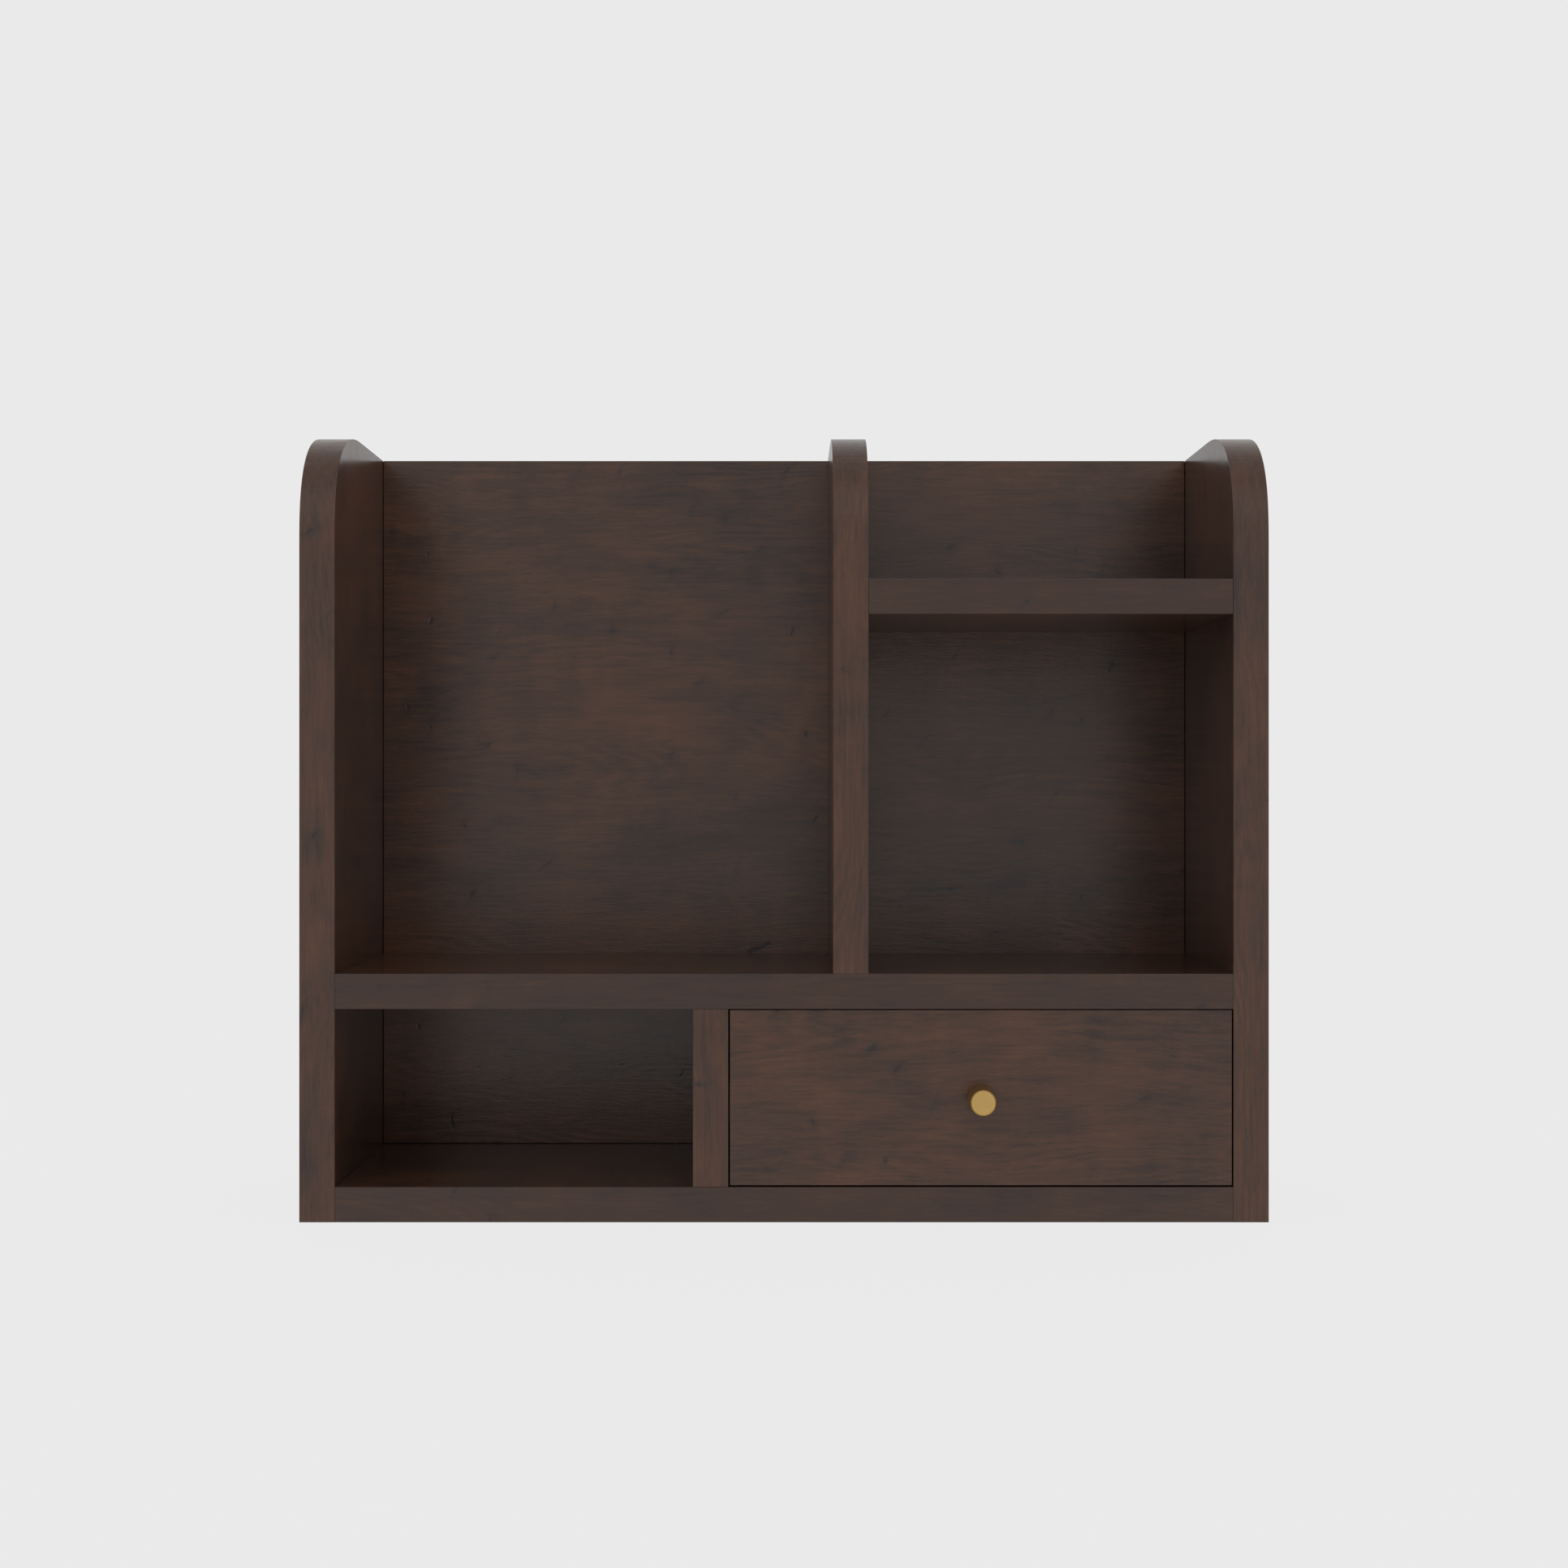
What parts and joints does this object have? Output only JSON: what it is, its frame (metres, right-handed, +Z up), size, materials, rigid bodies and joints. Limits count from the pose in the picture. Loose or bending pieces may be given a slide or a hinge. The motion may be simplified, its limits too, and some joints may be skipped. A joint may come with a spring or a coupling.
{
  "type": "desk hutch",
  "caption": "Free-standing desk hutch of dark walnut boards with rounded front top corners, open bays, a small shelf and an inset drawer with a round brass knob.",
  "frame": {"origin": "middle of the bottom panel's underside, on the surface that the hutch stands on", "axes": "+X to the right of someone facing the hutch, +Y from the front to the back, +Z up"},
  "size_m": [0.7, 0.2255, 0.578],
  "materials": {
    "walnut_board": "satin dark walnut",
    "drawer_box_board": "matt dark board",
    "drawer_bottom_board": "matt hardboard",
    "brass": "satin turned",
    "rail_steel": "black coated steel",
    "screw_steel": "zinc plated",
    "cast_zinc": "die-cast zinc",
    "beech": "raw beech"
  },
  "bodies": {
    "carcass": {"back_panel": "walnut_board", "bottom_panel": "walnut_board", "left_bottom_front_cam": "cast_zinc", "left_bottom_front_cam_bolt": "screw_steel", "left_bottom_rear_cam": "cast_zinc", "left_bottom_rear_cam_bolt": "screw_steel", "left_cabinet_rail": "rail_steel", "left_cabinet_rail_front_screw": "screw_steel", "left_cabinet_rail_rear_screw": "screw_steel", "left_middle_cam": "cast_zinc", "left_middle_cam_bolt": "screw_steel", "left_side_panel": "walnut_board", "lower_divider": "walnut_board", "lower_divider_back_screw": "screw_steel", "lower_divider_front_dowel": "beech", "lower_divider_front_screw": "screw_steel", "lower_divider_rear_dowel": "beech", "lower_divider_rear_screw": "screw_steel", "middle_shelf": "walnut_board", "middle_shelf_left_back_screw": "screw_steel", "middle_shelf_right_back_screw": "screw_steel", "right_bottom_front_cam": "cast_zinc", "right_bottom_front_cam_bolt": "screw_steel", "right_bottom_rear_cam": "cast_zinc", "right_bottom_rear_cam_bolt": "screw_steel", "right_cabinet_rail": "rail_steel", "right_cabinet_rail_front_screw": "screw_steel", "right_cabinet_rail_rear_screw": "screw_steel", "right_middle_cam": "cast_zinc", "right_middle_cam_bolt": "screw_steel", "right_side_panel": "walnut_board", "upper_divider": "walnut_board", "upper_divider_front_screw": "screw_steel", "upper_divider_high_back_screw": "screw_steel", "upper_divider_low_back_screw": "screw_steel", "upper_divider_rear_screw": "screw_steel", "upper_shelf": "walnut_board", "upper_shelf_back_screw": "screw_steel", "upper_shelf_left_front_dowel": "beech", "upper_shelf_left_rear_dowel": "beech", "upper_shelf_right_front_dowel": "beech", "upper_shelf_right_rear_dowel": "beech"},
    "drawer": {"drawer_bottom": "drawer_bottom_board", "drawer_box_back": "drawer_box_board", "drawer_box_front": "drawer_box_board", "drawer_front": "walnut_board", "drawer_front_left_screw": "screw_steel", "drawer_front_right_screw": "screw_steel", "drawer_left_side": "drawer_box_board", "drawer_right_side": "drawer_box_board", "knob": "brass", "knob_screw": "screw_steel", "left_drawer_rail": "rail_steel", "left_drawer_rail_front_screw": "screw_steel", "left_drawer_rail_rear_screw": "screw_steel", "right_drawer_rail": "rail_steel", "right_drawer_rail_front_screw": "screw_steel", "right_drawer_rail_rear_screw": "screw_steel"},
    "left_cage": {"left_ball_cage": "rail_steel"},
    "right_cage": {"right_ball_cage": "rail_steel"}
  },
  "joints": [
    {"name": "drawer_slide", "type": "slide", "parent": "carcass", "child": "drawer", "axis": [0, -1, 0], "range_m": [0, 0.105]},
    {"name": "left_cage_slide", "type": "slide", "parent": "carcass", "child": "left_cage", "axis": [0, -1, 0], "range_m": [0, 0.0525]},
    {"name": "right_cage_slide", "type": "slide", "parent": "carcass", "child": "right_cage", "axis": [0, -1, 0], "range_m": [0, 0.0525]}
  ],
  "couplings": [
    {"joint": "left_cage_slide", "follows": "drawer_slide", "ratio": 0.5},
    {"joint": "right_cage_slide", "follows": "drawer_slide", "ratio": 0.5}
  ]
}
